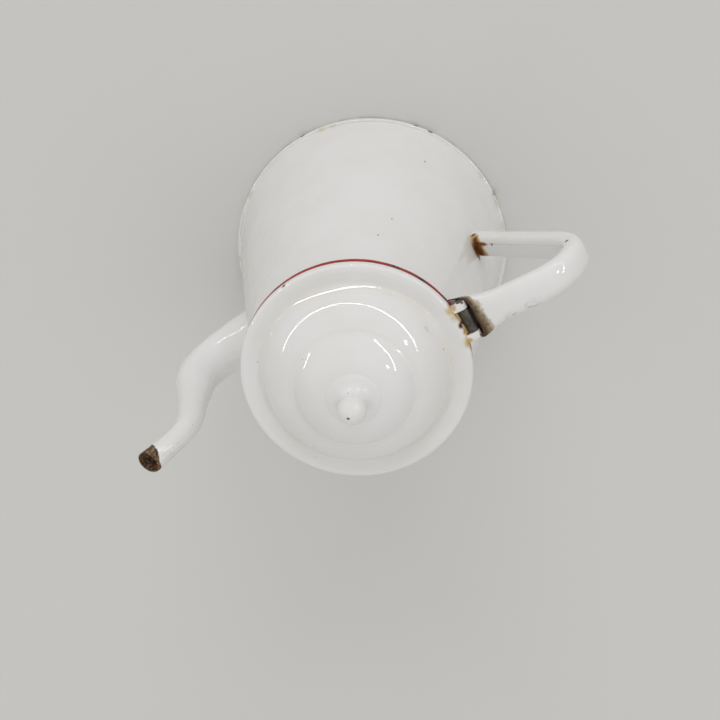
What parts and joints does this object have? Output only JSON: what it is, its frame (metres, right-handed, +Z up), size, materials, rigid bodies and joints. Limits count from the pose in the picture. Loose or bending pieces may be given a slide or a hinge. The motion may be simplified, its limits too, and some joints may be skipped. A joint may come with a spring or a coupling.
{
  "type": "coffee pot",
  "caption": "Tapered enamelled steel coffee pot with a gooseneck spout, a tubular handle, a rolled rim and a hinged stepped lid with a ball knob.",
  "frame": {"origin": "centre of the base, on the table the pot stands on", "axes": "+Z up; the spout points to -Y; the handle and the lid's hinge are on the +Y side; the hinge pin lies along X"},
  "size_m": [0.153, 0.2391, 0.2139],
  "materials": {
    "white_enamel": "glossy white vitreous enamel on sheet steel, worn and chipped",
    "red_enamel": "glossy red vitreous enamel",
    "bare_steel": "bare, dark and slightly rusty",
    "steel_wire": "plain drawn wire, sealed inside the rim"
  },
  "bodies": {
    "pot": {"pot_body": "white_enamel", "base_plate": "white_enamel", "rim_bead": "red_enamel", "rim_wire": "steel_wire", "spout_half_left": "white_enamel", "spout_half_right": "white_enamel", "handle": "white_enamel", "hinge_strap": "bare_steel"},
    "lid": {"hinge_pin": "bare_steel", "lid": "white_enamel", "lid_collar": "white_enamel", "lid_hinge_leaf": "white_enamel", "knob": "white_enamel"}
  },
  "joints": [
    {"name": "lid_hinge", "type": "hinge", "parent": "pot", "child": "lid", "pos_m": [0, 0.0576, 0.1665], "axis": [-1, 0, 0], "range_deg": [0, 105]}
  ]
}
